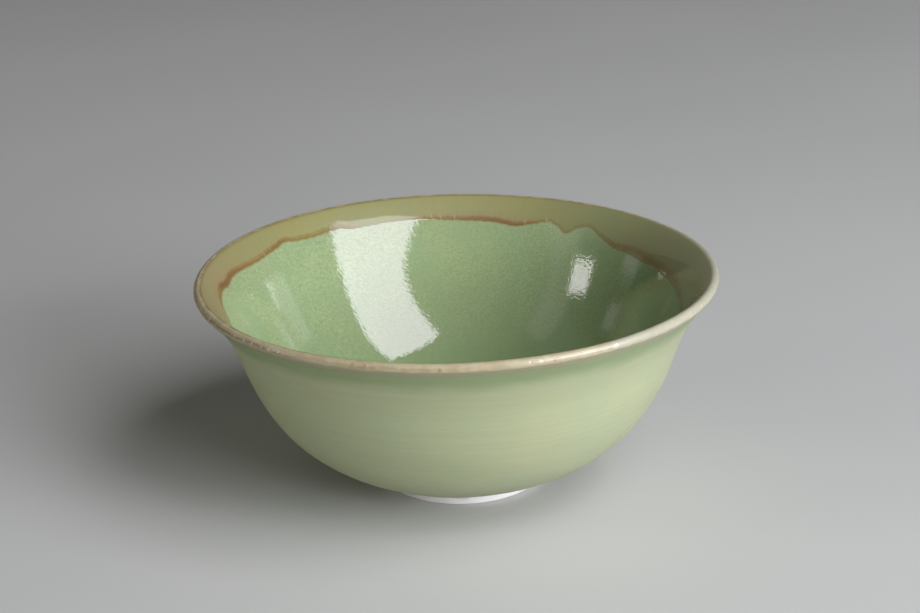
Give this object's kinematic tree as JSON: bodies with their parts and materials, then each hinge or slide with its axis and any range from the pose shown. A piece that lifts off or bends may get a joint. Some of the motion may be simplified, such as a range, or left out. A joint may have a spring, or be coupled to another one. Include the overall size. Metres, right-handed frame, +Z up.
{
  "type": "rice bowl",
  "caption": "Footed rice bowl with a flared lip: a thrown porcelain wall, glazed inside, outside and over the lip, on a bare turned foot ring.",
  "frame": {"origin": "centre of the foot ring's resting plane", "axes": "+Z up along the bowl's axis of turning, through the middle of its mouth; X and Y are free, because the bowl is round"},
  "size_m": [0.136, 0.136, 0.0572],
  "materials": {
    "bare_porcelain": "unglazed, fired white, finely turned",
    "outer_celadon": "satin pale celadon glaze",
    "rim_ochre": "glossy ochre to tan glaze with a rust-brown lower edge",
    "inner_celadon": "glossy celadon glaze"
  },
  "bodies": {
    "root": {"porcelain_body": "bare_porcelain", "outer_glaze": "outer_celadon", "rim_glaze": "rim_ochre", "inner_glaze": "inner_celadon"}
  },
  "joints": []
}
